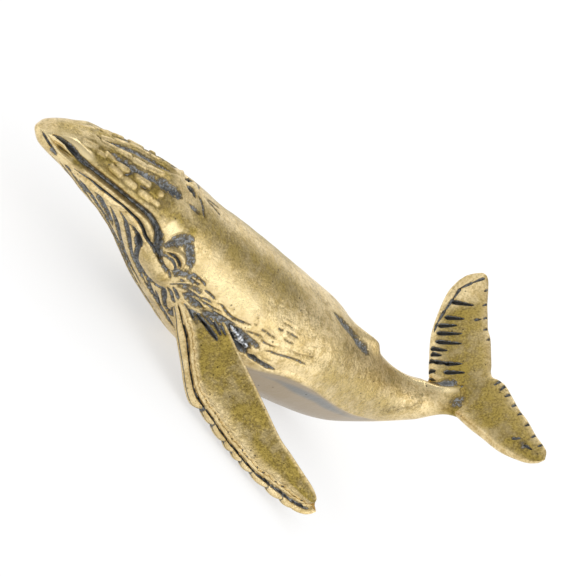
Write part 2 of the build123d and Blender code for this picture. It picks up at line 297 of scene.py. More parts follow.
# Broad darkened places first: behind the mouth, round the eye, over the flipper's root
carve([
    (231, 420), (249, 455), (262, 500), (268, 536), (286, 551), (303, 560), (323, 560),
], 1.05, 0.3, 1)
carve([(264, 488), (275, 434), (285, 380), (290, 341), (292, 312)], 0.8, 0.22, 0.95)
carve([(289, 327), (304, 357), (318, 386), (332, 426)], 1.05, 0.28, 1)
carve([(307, 554), (320, 525), (327, 477), (334, 434)], 0.6, 0.15, 0.9)
carve([(331, 455), (348, 452), (357, 444)], 0.7, 0.15, 0.9)
carve([(360, 542), (372, 519), (387, 515), (403, 509)], 1.15, 0.35, 1.1)
carve([(403, 522), (422, 501), (440, 476), (459, 468), (471, 482)], 1, 0.25, 0.95)
carve([(384, 688), (393, 686), (379, 635)], 0.9, 0.35, 1.3)
stain([(100, 130), (130, 150), (160, 170), (210, 170), (245, 150)], 3, 0.4)
stain([(100, -30), (150, -20), (210, 0)], 2.2, 0.4)
stain([(150, 300), (185, 300), (215, 280), (240, 250)], 2, 0.34)

# Faint remains of the dark coat, in specks: tail stock and rear of the trunk
stain([(866, 449), (899, 401), (925, 350), (945, 243)], 1.7, 0.3)
stain([(909, 239), (937, 174)], 1, 0.28)
stain([(679, 200), (725, 159), (777, 129)], 2.2, 0.24)
stain([(531, 149), (588, 155), (633, 182)], 2.4, 0.22)
stain([(586, 362), (635, 348), (698, 323)], 2.2, 0.24)
stain([(585, 18), (640, 28)], 1.6, 0.24)

# Snout: troughs between the rows of knobs, and the hollow before the blowholes
carve([(80, 0), (110, 0), (150, 0), (190, 0), (225, 0)], 0.62, 0.26, 0.95)
carve([
    (88, 126), (102, 129), (117, 150), (133, 153), (150, 167), (170, 168), (189, 156), (210, 158),
    (227, 155), (243, 162),
], 0.72, 0.34, 1)
carve([(105, 251), (114, 243), (121, 209)], 0.4, 0.14, 0.85)
carve([(137, 261), (143, 234), (148, 180)], 0.4, 0.14, 0.85)
carve([(165, 270), (179, 258), (189, 255)], 0.35, 0.12, 0.6)
carve([(50, 134), (65, 189), (78, 242), (94, 278), (115, 305), (140, 326)], 0.75, 0.16, 0.38)
carve([(192, 140), (211, 138), (228, 143), (244, 153)], 1.25, 0.5, 1)
carve([(214, 140), (232, 146), (248, 155)], 1, 0.35, 1.35)

# Snout knobs: two rows of long ones, one round one behind, and small ones beside the jaw's edge
for line, radius, rise in (
    ([(62, 134), (78, 144)], 0.62, 0.13), ([(99, 149), (114, 170)], 0.6, 0.26),
    ([(123, 195), (138, 207)], 0.68, 0.286), ([(158, 209), (180, 221)], 0.66, 0.286),
    ([(206, 233), (208, 233)], 0.62, 0.442), ([(91, 25), (112, 40)], 0.52, 0.156),
    ([(117, 62), (138, 70)], 0.58, 0.26), ([(147, 90), (167, 90)], 0.6, 0.286),
    ([(176, 82), (200, 70)], 0.58, 0.26), ([(85, 180), (95, 185)], 0.5, 0.13),
    ([(113, 252), (130, 273)], 0.66, 0.234), ([(141, 288), (160, 296)], 0.6, 0.182),
    ([(175, 309), (196, 306)], 0.58, 0.156), ([(202, 305), (212, 305)], 0.45, 0.104),
    ([(227, 150), (228, 152)], 0.22, 0.13), ([(239, 156), (240, 158)], 0.2, 0.13),
):
    bead(line, radius, rise, 0.2)

# Mouth: a deep slit under the upper jaw's rounded edge, forked at the front, then the lips
swell([
    (30, 155), (43, 180), (58, 224), (76, 275), (95, 321), (116, 350), (137, 353), (159, 362),
    (182, 369), (205, 368), (229, 371), (247, 383),
], 0.85, 0.26, 0.9)
carve([
    (16, 205), (26, 240), (42, 300), (62, 368), (86, 402), (111, 410), (137, 414), (162, 420),
    (186, 416), (209, 411), (227, 423), (245, 449), (258, 489), (267, 527), (285, 542), (302, 551),
], 0.62, 0.62, 1.1)
# The slit's front is darker still: painted shade
carve([(16, 200), (26, 232), (41, 279), (65, 360)], 0.5, 0.35, 1.7)
carve([(21, 339), (35, 400), (51, 440), (70, 450)], 0.45, 0.4, 0.42)
tint([(21, 339), (51, 430), (80, 440)], 0.9, 1)
swell([(13, 252), (27, 291), (39, 323)], 0.4, 0.35, 1)
swell([
    (13, 335), (31, 449), (48, 468), (70, 471), (89, 464), (110, 464), (132, 462), (153, 461),
    (176, 458), (197, 456), (217, 464), (232, 482), (245, 501), (251, 537),
], 0.62, 0.42, 1)
swell([(75, 638), (103, 593), (126, 563), (148, 553), (164, 527)], 0.45, 0.28, 1)
swell([(183, 536), (207, 533), (224, 546), (247, 560), (268, 565)], 0.5, 0.3, 1)
carve([
    (68, 559), (84, 540), (100, 519), (118, 518), (135, 507), (152, 501), (169, 494), (190, 497),
    (207, 497), (224, 516), (239, 537), (254, 537), (265, 542), (280, 546), (292, 553),
], 0.27, 0.36, 2)
carve([(4, 300), (8, 371), (16, 440), (26, 500), (34, 530)], 0.2, 0.2, 1.4)
carve([(22, 530), (36, 580)], 0.36, 0.2, 1.1)
carve([(56, 625), (72, 655)], 0.34, 0.25, 1.3)

# Throat pleats, and the smooth lobe behind the jaw's corner
carve([(89, 628), (105, 671), (123, 707)], 0.42, 0.3, 1.6)
carve([(121, 602), (140, 634), (161, 674), (186, 721), (201, 748)], 0.6, 0.42, 1.15)
carve([
    (159, 605), (179, 646), (200, 691), (222, 743), (247, 787), (265, 799), (289, 803), (309, 791),
    (332, 802),
], 0.46, 0.42, 1.35)
carve([
    (175, 565), (195, 590), (211, 628), (230, 667), (251, 713), (272, 734), (292, 734), (314, 739),
    (327, 743),
], 0.46, 0.42, 1.35)
carve([
    (203, 581), (216, 575), (229, 580), (244, 613), (255, 659), (272, 707), (288, 707), (304, 701),
    (319, 686), (327, 670),
], 0.5, 0.45, 1.4)
carve([(229, 590), (243, 615), (252, 645)], 0.75, 0.3, 1.7)
lobe = [(258, 589), (279, 607), (304, 608), (330, 611)]
tint(lobe, 1.8, 0.5)
swell(lobe, 1.6, 0.42, 0.9)
carve([(300, 700), (317, 706), (335, 719), (352, 731), (373, 733), (394, 731)], 0.36, 0.3, 1.2)
carve([(311, 676), (322, 674), (332, 650), (339, 631), (354, 655), (369, 694)], 0.42, 0.3, 1.2)
carve([(334, 649), (343, 646), (360, 677), (377, 701), (386, 692), (398, 712)], 0.46, 0.35, 1.2)
carve([(336, 602), (349, 602), (364, 619), (371, 619)], 0.36, 0.28, 1.2)
carve([(340, 569), (357, 577), (367, 589)], 0.36, 0.28, 1.2)
carve([(337, 692), (354, 713), (371, 736), (384, 734)], 0.34, 0.25, 1.1)

# Eye: an oval bead within a thin ring, under a thick curved lid, in a darkened socket
stain([(270, 479), (274, 416), (284, 351), (302, 341), (317, 380), (330, 431)], 0.95, 1.1)
stain([(267, 429), (276, 350), (292, 306), (306, 308)], 0.6, 0.8)
stain([(254, 485), (272, 519), (290, 531), (309, 537), (323, 510)], 0.85, 1.1)
stain([(306, 516), (322, 480), (340, 447), (364, 431)], 1.2, 0.75)
stain([(334, 534), (357, 488), (383, 464)], 1.3, 0.7)
bead([(289, 506), (304, 501)], 0.95, 0.62)
carve([
    (281, 513), (291, 530), (302, 530), (311, 512), (312, 494), (305, 476), (294, 474), (284, 488),
    (281, 513),
], 0.26, 0.3, 1.7)
swell([(282, 485), (293, 465), (307, 465), (316, 479)], 0.26, 0.25, 0.8)
swell([(276, 480), (284, 437), (297, 420), (311, 426), (319, 456)], 0.62, 0.6, 1)
carve([(280, 476), (293, 450), (307, 449), (317, 464)], 0.22, 0.3, 1.8)

# Blowholes: two slits behind a raised guard that runs forward along the snout
swell([(262, 0), (285, 0)], 2.6, 0.42, 0.2)
swell([(198, 75), (216, 50), (234, 22), (252, 0)], 0.62, 0.3, 1)
swell([(236, 30), (246, 55), (254, 90), (258, 140)], 0.6, 0.3, 0.8)
carve([(256, 25), (266, 45), (276, 78)], 0.46, 0.8, 2)
carve([(282, 31), (293, 64), (299, 113), (306, 150)], 0.42, 0.2, 0.8)
carve([(264, 152), (282, 150), (294, 152)], 0.5, 0.2, 0.8)
carve([(300, 0), (330, 20), (350, 30)], 0.4, 0.12, 0.5)

# Wrinkles that flow from the eye over the shoulder
wrinkle([(338, 428), (347, 420), (367, 411), (375, 417)], 0.3, 0.22, 0.94)
wrinkle([(377, 435), (390, 425), (406, 423)], 0.28, 0.2, 0.94)
wrinkle([
    (410, 432), (421, 420), (435, 426), (446, 426), (457, 419), (469, 408), (479, 399), (491, 387),
], 0.26, 0.2, 0.94)
wrinkle([(382, 480), (391, 462), (405, 449)], 0.25, 0.16, 0.94)
wrinkle([(389, 491), (399, 476), (412, 465), (424, 453), (433, 449)], 0.26, 0.2, 0.94)
wrinkle([(411, 477), (423, 471), (434, 462), (444, 455), (455, 447), (469, 434)], 0.3, 0.22, 1.01)
wrinkle([(342, 459), (357, 444), (365, 435)], 0.32, 0.22, 0.94)
wrinkle([(352, 512), (367, 497), (380, 485), (387, 479)], 0.32, 0.24, 1.09)
wrinkle([(367, 543), (379, 522), (389, 510), (399, 507), (406, 504)], 0.35, 0.28, 1.17)
wrinkle([(332, 581), (341, 521), (354, 473)], 0.23, 0.2, 1.25)
wrinkle([(334, 507), (340, 492)], 0.21, 0.15, 0.94)
wrinkle([(304, 540), (314, 542), (324, 549)], 0.35, 0.22, 0.86)

# Armpit: the deep gap behind the flipper, and the slot that runs on from it; their near black is
# partly patina and partly painted shade
carve([(459, 458), (476, 474), (491, 489), (511, 501), (528, 507)], 1, 0.75, 1.7)
carve([(466, 461), (481, 467), (494, 471), (511, 477), (523, 474)], 1.1, 0.5, 1.2)
carve([(464, 447), (483, 447), (504, 444), (523, 444), (538, 447)], 0.7, 0.2, 0.85)
carve([(528, 507), (548, 498), (573, 492), (594, 486)], 0.55, 0.75, 1.9)
swell([(541, 482), (556, 486), (576, 483), (591, 479)], 0.42, 0.3, 1)
swell([(552, 471), (563, 455), (576, 452)], 0.3, 0.15, 0.8)

# Ripples along the flank
wrinkle([(460, 419), (479, 399), (491, 387)], 0.2, 0.1, 0.43)
wrinkle([(491, 374), (501, 368)], 0.2, 0.1, 0.43)
wrinkle([(508, 372), (521, 365), (539, 362), (550, 360)], 0.26, 0.16, 0.62)
wrinkle([(536, 314), (546, 311), (550, 297)], 0.29, 0.18, 0.68)
wrinkle([(554, 302), (572, 297), (590, 293)], 0.24, 0.14, 0.59)
wrinkle([(558, 336), (573, 335), (586, 326)], 0.24, 0.14, 0.56)
wrinkle([(538, 278), (553, 272), (569, 269)], 0.19, 0.1, 0.5)
wrinkle([(486, 354), (495, 332)], 0.2, 0.1, 0.43)
wrinkle([
    (479, 437), (494, 420), (504, 411), (514, 402), (524, 407), (538, 407), (553, 398), (561, 390),
], 0.24, 0.18, 0.59)
wrinkle([
    (545, 441), (556, 425), (573, 414), (590, 399), (611, 384), (625, 380), (638, 380),
], 0.22, 0.18, 0.81)
wrinkle([(574, 368), (587, 365), (602, 360), (618, 347), (634, 330), (645, 303)], 0.2, 0.12, 0.37)
wrinkle([(587, 318), (605, 321), (622, 308), (639, 284)], 0.17, 0.08, 0.25)
wrinkle([(506, 408), (516, 393), (531, 395)], 0.2, 0.1, 0.37)

# Throat pleats of the underside
for pleat in (
    [(314, 740), (360, 740), (430, 745)],
    [(95, 640), (135, 700), (180, 765), (225, 812), (280, 835), (360, 842), (450, 842)],
    [(70, 660), (110, 735), (160, 800), (220, 850), (300, 874), (380, 880), (460, 880)],
    [(50, 680), (85, 775), (140, 850), (210, 892), (300, 912), (380, 916), (470, 916)],
    [(35, 720), (70, 835), (130, 900), (210, 930), (310, 944), (480, 946)],
    [(30, 850), (70, 930), (150, 962), (300, 975), (500, 975)],
):
    carve(pleat, 0.46, 0.42, 1.3, 0.12)

# Edge between the flank and the flatter belly. The belly's greyer colour paints the pale floor's
# reflection, with a darker grey streak in it
swell([
    (581, 515), (608, 486), (636, 468), (672, 465), (706, 468), (764, 490), (815, 515), (860, 550),
], 0.8, 0.2, 0.6)
carve([(570, 600), (640, 560), (720, 560), (800, 590), (870, 630)], 3.6, 0.3, 0)
belly_edge = curve([
    (0, 0.66), (0.5, 0.6), (0.575, 0.53), (0.608, 0.495), (0.636, 0.476), (0.672, 0.472),
    (0.706, 0.474), (0.764, 0.495), (0.815, 0.521), (0.86, 0.56), (0.9, 0.62), (0.95, 0.8), (1, 0.9),
], share)
pale = climb(turn, belly_edge, 0.02) * climb(share, 0.5, 0.04) * climb(share, 0.92, -0.04)
streak = nearness([
    (591, 560), (630, 535), (668, 532), (710, 531), (738, 530), (773, 548), (821, 574), (868, 620),
], 1.3, 0.3)
pale = pale * (1 + streak)

# Dorsal fin with a hook, the dull hollow beside it, and the ridge of the tail stock
fin_profile = curve([
    (0, 0), (0.7, 0), (0.725, 0.18), (0.75, 0.6), (0.772, 0.93), (0.785, 0.95), (0.797, 0.62),
    (0.81, 0.28), (0.828, 0.08), (0.85, 0), (1, 0),
], share)
fin_height = 1.25
across = plain[..., 1]
height = height + fin_height * fin_profile * hump(across, 0, 0.8 + 0.5 * (1 - fin_profile))
carve([(650, 55), (675, 72), (700, 78), (720, 83), (742, 87), (768, 85)], 1.05, 0.22, 0.85)
carve([(712, 82), (742, 91), (774, 90)], 1.25, 0.2, 0.95)
ridge_rise, ridge_width = 0.35, 0.7
ridge = ridge_rise * hump(across, 0, ridge_width) * climb(share, 0.81, 0.06)
height = height + ridge
patina = patina - 0.8 * within(ridge / 0.3 - 0.2)

# Places where hands and the polishing wheel reach first: the snout's tip and the upper flank,
# rubbed bright; here the brightness also paints highlights
for line, width, rub in (
    ([(0, 160), (20, 170), (50, 225), (80, 300)], 1.9, 1), ([(20, 500), (60, 550)], 2, 0.5),
    ([(330, 360), (420, 330), (500, 310)], 3.2, 0.45), ([(245, 340), (265, 360), (280, 340)], 2, 0.6),
):
    patina = patina - rub * nearness(line, width, 0.15) * within(1 - 3 * patina)

# The snout's very tip is smooth on top
smooth_tip = climb(share, 0.05, -0.03) * climb(turn, 0.205, -0.05)
height = height * (1 - smooth_tip)
patina = patina * (1 - smooth_tip) - 0.15 * smooth_tip

# Slow unevenness of the hand-carved wax: a few waves of different lengths
x, z = plain[..., 0], plain[..., 2]
waves = np.sin(0.5 * x + z) * np.sin(0.5 * z - 0.3 * x + 1)
waves = waves + 0.5 * np.sin(1.3 * x - 1.1 * z + 2) * np.sin(1.2 * z + 0.6 * x)
height = height + 0.045 * waves * np.maximum(climb(share, 0.8, -0.2), 0.15) * climb(share, 0.93, -0.05)


def pole_rows(first_ring, tip, steps):
    """Rows from a tip to a ring, on an eighth of a round: with b = 45 degrees, the radius is
    sin(a) / sin(b) and the distance from the ring (cos(a) - cos(b)) / (1 - cos(b))."""
    last = math.pi / 4
    angle = np.linspace(0, last, steps + 1)[1:-1][:, None, None]
    middle = first_ring.mean(0)
    ahead = (np.cos(angle) - math.cos(last)) / (1 - math.cos(last))
    return middle + (first_ring - middle) * np.sin(angle) / math.sin(last) + (tip - middle) * ahead


def build(name, grid, tip=None, attributes=None, flip=False, normals=None):
    """Mesh from a grid of rows that are closed rings, with a point that closes each end.

    That point is the middle of its ring, unless a tip is given for the first one. Normals may be
    given for the grid's points; the two poles' then point up."""
    count, columns = grid.shape[:2]
    ring = np.arange(columns)
    after = (ring + 1) % columns
    below = (np.arange(count - 1) * columns)[:, None]
    sides = [below + ring, below + after, below + columns + after, below + columns + ring]
    first_pole, last_row = count * columns, (count - 1) * columns
    first_cap = [after, ring, np.full(columns, first_pole)]
    last_cap = [np.full(columns, first_pole + 1), last_row + ring, last_row + after]
    faces = [np.stack(sides, -1).reshape(-1, 4), np.stack(first_cap, -1), np.stack(last_cap, -1)]
    if flip:
        faces = [face[:, ::-1] for face in faces]
    poles = [grid[0].mean(0) if tip is None else tip, grid[-1].mean(0)]
    points = np.vstack([grid.reshape(-1, 3), poles])
    sizes = np.concatenate([np.full(len(face), face.shape[1]) for face in faces])
    corners = np.concatenate([face.ravel() for face in faces])
    mesh = bpy.data.meshes.new(name)
    mesh.vertices.add(len(points))
    mesh.vertices.foreach_set("co", (points * MM).ravel())
    mesh.loops.add(len(corners))
    mesh.loops.foreach_set("vertex_index", corners)
    mesh.polygons.add(len(sizes))
    mesh.polygons.foreach_set("loop_start", np.concatenate([[0], np.cumsum(sizes)[:-1]]))
    mesh.polygons.foreach_set("use_smooth", np.ones(len(sizes), bool))
    mesh.update(calc_edges=True)
    for key, values in (attributes or {}).items():
        layer = mesh.attributes.new(key, "FLOAT", "POINT")
        full = np.zeros(len(points))
        full[: values.size] = values.ravel()
        layer.data.foreach_set("value", full)
    mesh.validate()
    if normals is None:
        mesh.set_sharp_from_angle(angle=math.radians(75))
    else:
        mesh.normals_split_custom_set_from_vertices(np.vstack([normals.reshape(-1, 3), [(0, 0, 1)] * 2]))
    piece = bpy.data.objects.new(name, mesh)
    bpy.context.scene.collection.objects.link(piece)
    return piece


mirror = np.array([1, -1, 1])


def whole(left, right):
    """Closed rings from their left halves and the right ones, both listed from back to belly."""
    return np.concatenate([left, right[:, -2:0:-1]], axis=1)


def grid_normals(grid):
    """Outward normals of a grid of rings: the cross product of its two directions."""
    around = np.roll(grid, -1, axis=1) - np.roll(grid, 1, axis=1)
    return unit(np.cross(around, np.gradient(grid, axis=0)))


# The mouth starts further back on the right side
right_start = 1 - climb(share, 0.085, -0.035) * climb(turn, 0.6, -0.05)
halves = []
for kept in (1, right_start):
    half = plain + normal * (height * kept)[..., None]
    half[:, [0, -1], 1] = 0
    half[..., 2] = np.maximum(half[..., 2], 0)
    halves.append(half)
body_grid = whole(halves[0], halves[1] * mirror)
nose_bulge = 0.28
nose_tip = body_grid[0].mean(0) - np.array([nose_bulge, 0, 0])
nose_rows = pole_rows(body_grid[0], nose_tip, 7)
body_grid = np.concatenate([nose_rows, body_grid])
body_normals = grid_normals(body_grid)
# The right side is also cleaner beside the dorsal fin
clean = climb(row_shares, 0.6, 0.04) * climb(row_shares, 0.76, -0.03)
right_patina = patina * np.where(patina > 0, 1 - 0.9 * clean[:, None], 1) * right_start
body_layers = {}
for key, left, right in (("patina", patina, right_patina), ("pale", pale, pale), ("olive", olive, olive)):
    layer = whole(left, right)
    body_layers[key] = np.concatenate([np.repeat(layer[:1], len(nose_rows), axis=0), layer])
head_end = len(nose_rows) + len(head_rows) - 1
flank_end = head_end + len(flank_rows) - 1
body_pieces = []
for name, start, stop in (
    ("head", 0, head_end), ("flank", head_end, flank_end), ("tail_stock", flank_end, len(body_grid) - 1),
):
    part = slice(start, stop + 1)
    layers = {key: layer[part] for key, layer in body_layers.items()}
    tip = nose_tip if name == "head" else None
    body_pieces.append(build(f"body_{name}", body_grid[part], tip, layers, normals=body_normals[part]))


def tone(code):
    """sRGB hex colour as linear red, green, blue and alpha."""
    parts = [int(code[k:k + 2], 16) / 255 for k in (1, 3, 5)]
    return [c / 12.92 if c <= 0.04045 else ((c + 0.055) / 1.055) ** 2.4 for c in parts] + [1]


def fresh_tree(owner):
    """Node tree of a new material or world, emptied. The functions below add to the last one made."""
    owner.use_nodes = True
    owner.node_tree.nodes.clear()
    return owner.node_tree


def node(kind, links=(), **settings):
    """Adds a node, with settings on the node and a value or a link for each named input."""
    made = tree.nodes.new(kind)
    for key, value in settings.items():
        setattr(made, key, value)
    for key, value in dict(links).items():
        if isinstance(value, bpy.types.NodeSocket):
            tree.links.new(value, made.inputs[key])
        else:
            made.inputs[key].default_value = value
    return made


def mixed(part, first, second):
    """Mix of two colours, each a hex code or a link."""
    first, second = (tone(item) if isinstance(item, str) else item for item in (first, second))
    links = {"Factor": part, "A": first, "B": second}
    return node("ShaderNodeMix", links, data_type="RGBA").outputs["Result"]


def ramp(value, low, high, start=0, end=1):
    """Smooth step from start to end while a value goes from low to high."""
    links = {"Value": value, "From Min": low, "From Max": high, "To Min": start, "To Max": end}
    return node("ShaderNodeMapRange", links, interpolation_type="SMOOTHSTEP").outputs["Result"]


def maths(operation, *values):
    """Result of one Math node."""
    return node("ShaderNodeMath", dict(enumerate(values)), operation=operation).outputs[0]


def noise(size, detail, roughness=0.5):
    """Noise on the piece's own coordinates, with waves of a size in millimetres."""
    links = {"Vector": spot, "Scale": 1 / (size * MM), "Detail": detail, "Roughness": roughness}
    return node("ShaderNodeTexNoise", links).outputs["Fac"]


# Cast brass, darkened all over in a liver-of-sulphur bath and rubbed bright by hand. The hollows
# stay grey to nearly black with a brown rim, half-rubbed places are olive, ridges are creamy;
# casting grain and fine pits are left everywhere. The olive also paints darker reflections, the
# cream some highlights, and the belly's grey the pale floor's reflection. Patina, olive and pale
# come from the meshes.
brass = bpy.data.materials.new("antique_cast_brass")
tree = fresh_tree(brass)
spot = node("ShaderNodeTexCoord").outputs["Object"]
dark, olive_amount, belly_reflection = (
    node("ShaderNodeAttribute", attribute_name=key).outputs["Fac"] for key in ("patina", "olive", "pale")
)
# Clouds where the rubbing was uneven, lumps from the investment, flecks and casting grain
clouds, lumps = noise(3, 4, 0.6), noise(1.1, 4, 0.6)
flecks, grain = noise(0.5, 5, 0.75), noise(0.33, 3, 0.7)
# Pits up to 0.3 mm across, in a third of the cells of 0.9 mm
pits = node("ShaderNodeTexVoronoi", {"Vector": spot, "Scale": 1 / (0.9 * MM)})
pit_draw = node("ShaderNodeSeparateColor", {"Color": pits.outputs["Color"]}).outputs[0]
pit_edge = maths("SUBTRACT", pits.outputs["Distance"], ramp(pit_draw, 0.66, 1, 0, 0.19))
pit = ramp(pit_edge, -0.06, 0.02, 1, 0)
# How much of each tone there is, with edges broken up by the flecks
swing = ramp(dark, 0.1, 0.6, 0.3, 2.5)
broken = maths("MULTIPLY_ADD", maths("SUBTRACT", flecks, 0.5), swing, dark)
brown_part, grey_part = ramp(broken, 0.1, 0.55), ramp(broken, 0.34, 1)
black_part = ramp(broken, 1.1, 2)
bare = ramp(grain, 0.53, 0.62, 1, 0.45)
# Rubbed-bright metal where the patina is below zero; in some places this paints highlights
rubbed_and_highlight = ramp(maths("MULTIPLY_ADD", maths("SUBTRACT", grain, 0.5), 0.5, dark), 0, -0.7)
olive_part = maths("MULTIPLY", olive_amount, ramp(clouds, 0.3, 0.62, 0.6, 1))
speck = maths("MULTIPLY", ramp(grain, 0.52, 0.38), ramp(dark, -0.5, 0.4, 0, 0.55))
# Pale specks in the grain away from the olive: painted glints
painted_glint = maths("MULTIPLY", ramp(grain, 0.54, 0.72, 0, 0.5), maths("SUBTRACT", 1, olive_amount))
# The tones, laid one over the other from the bare metal to the black of the pits
olive_tone = mixed(ramp(maths("ADD", clouds, grain), 0.86, 1.16), "#6F5F26", "#AD974E")
grey_tone = mixed(ramp(flecks, 0.44, 0.58), "#4E5153", "#96999B")
surface = mixed(ramp(clouds, 0.38, 0.66, 0, 0.8), "#F4DDAA", "#DCC288")
# AB9C86 and #7F8588 paint the pale floor's reflection in the belly
for part, layer in (
    (ramp(lumps, 0.48, 0.64, 0, 0.55), "#C0A467"), (olive_part, olive_tone), (painted_glint, "#F4E3B8"),
    (rubbed_and_highlight, "#F6E1AE"), (speck, "#8A7644"), (maths("MINIMUM", belly_reflection, 1), "#AB9C86"),
    (ramp(belly_reflection, 1, 2, 0, 0.75), "#7F8588"), (brown_part, "#6E5E38"),
    (maths("MULTIPLY", grey_part, bare), grey_tone),
    (maths("MAXIMUM", black_part, maths("MULTIPLY", pit, 0.65)), "#272622"),
):
    surface = mixed(part, surface, layer)
rough = maths("MULTIPLY_ADD", rubbed_and_highlight, -0.06, ramp(olive_amount, 0, 1, 0.3, 0.4))
# Grain, flecks, lumps and pits as relief, lower on the belly and where the metal was rubbed
relief = maths("MULTIPLY_ADD", flecks, 0.8, maths("MULTIPLY", lumps, 1.8))
relief = maths("MULTIPLY_ADD", grain, 0.7, relief)
relief = maths("SUBTRACT", relief, maths("MULTIPLY", pit, 0.7))
worn = maths("MULTIPLY", maths("MINIMUM", maths("ADD", belly_reflection, rubbed_and_highlight), 1), 0.6)
relief = maths("MULTIPLY", relief, maths("SUBTRACT", 1, worn))
bump = node("ShaderNodeBump", {"Height": relief, "Strength": 0.8, "Distance": 0.13 * MM})
shader = node("ShaderNodeBsdfPrincipled", {
    "Base Color": surface, "Metallic": maths("SUBTRACT", 1, maths("MULTIPLY", grey_part, 0.45)),
    "Roughness": maths("MAXIMUM", rough, maths("MULTIPLY", grey_part, 0.46)),
    "Normal": bump.outputs["Normal"],
})
node("ShaderNodeOutputMaterial", {"Surface": shader.outputs[0]})

for piece in body_pieces:
    piece.data.materials.append(brass)
    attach(piece, whale)
    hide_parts("body_casting")


# Flippers: separate brass castings, one for each side, flat on top with a thick leading edge
# whose two beads have a dark groove between them; the lower bead is scalloped into knobs. Each
# stands in the body on a round tenon.
root_share, root_turn = 0.413, 0.53
flipper_root = skin(root_share, root_turn)
sweep_angle, droop, tilt = math.radians(58.9), math.radians(9.1), math.radians(47.2)
level_span = np.array([math.sin(sweep_angle), -math.cos(sweep_angle), 0])
span = level_span * math.cos(droop) - np.array([0, 0, math.sin(droop)])
level = np.array([math.cos(sweep_angle), math.sin(sweep_angle), 0])
chord = level * math.cos(tilt) + np.cross(span, level) * math.sin(tilt)
upper = np.cross(span, chord)
# Outlines of the blade in millimetres, each as (distance out, place along the chord): the upper
# layer's rim, the knobbed lower layer in front of it, and the back edges of the two. The fourth
# table is (distance out, thickness)
rim_line = [
    (-6, -1.3), (-4, -1.8), (-1.2, -2.5), (1.5, -3.2), (4, -4.45), (6.7, -5.65), (8.8, -6.2),
    (10.9, -6.2), (13.4, -5.95), (15.9, -5.8), (19.1, -5.3), (22.9, -4.55), (25.7, -3.4), (28.7, -2.1),
    (30.6, -1.2), (31.7, -0.3), (32.1, 0.7),
]
bead_line = [
    (-6, -1.6), (-2.1, -2.7), (0.4, -3.9), (4.4, -5.5), (8, -7), (9.9, -7.25), (11.2, -6.85),
    (12.6, -6.55), (14.9, -6.45), (17.1, -6.2), (20.2, -5.75), (22.9, -5.15), (25.5, -4.45),
    (28.7, -3.35), (31.2, -2.2), (32.8, -1), (33.4, -0.1), (33.6, 0.6),
]
back_line = [
    (-6, 1.8), (-2, 2.2), (1, 2.5), (3.9, 2.4), (7.2, 2.15), (10.3, 1.95), (14.2, 1.7), (16.9, 1.5),
    (20, 1.25), (22.2, 1.2), (24.2, 1.4), (28, 1.65), (30.2, 1.75), (31.3, 1.6), (31.9, 1.3),
    (32.1, 0.85),
]
low_back_line = back_line[:-4] + [(30.2, 1.65), (32, 1.6), (33, 1.3), (33.6, 0.8)]
edge_line = [
    (-6, 2.7), (0, 2.8), (10, 2.8), (16, 2.65), (22, 2.4), (28, 2.15), (31, 1.95),
    (33.6, 1.7),
]
# Where the ten knobs stand along the span, and half the length of each
knob_stops = np.array([9.6, 12.9, 15.7, 18.1, 19.95, 22, 24.7, 27.65, 30.15, 32.4])
knob_halves = np.array([1.75, 1.3, 1.55, 1, 0.95, 1.15, 1.65, 1.4, 1.2, 1.7])
flipper_rows, flipper_columns = 400, 220
flipper_start, upper_end, lower_end = -5.5, 32.1, 33.6


def closed_curve(points, count):
    """Smooth closed curve through rings of points: between two points a cubic with the slope of
    the line through its neighbours. points is (rings, corners, values)."""
    corners = points.shape[1]
    at = np.arange(count) / count * corners
    k = at.astype(int)
    t = (at - k)[None, :, None]
    before, start, end, after = (points[:, (k + step) % corners] for step in (-1, 0, 1, 2))
    return (
        start + t * (end - before) / 2 + t**2 * (before - 2.5 * start + 2 * end - after / 2)
        + t**3 * (1.5 * start - before / 2 - 1.5 * end + after / 2)
    )


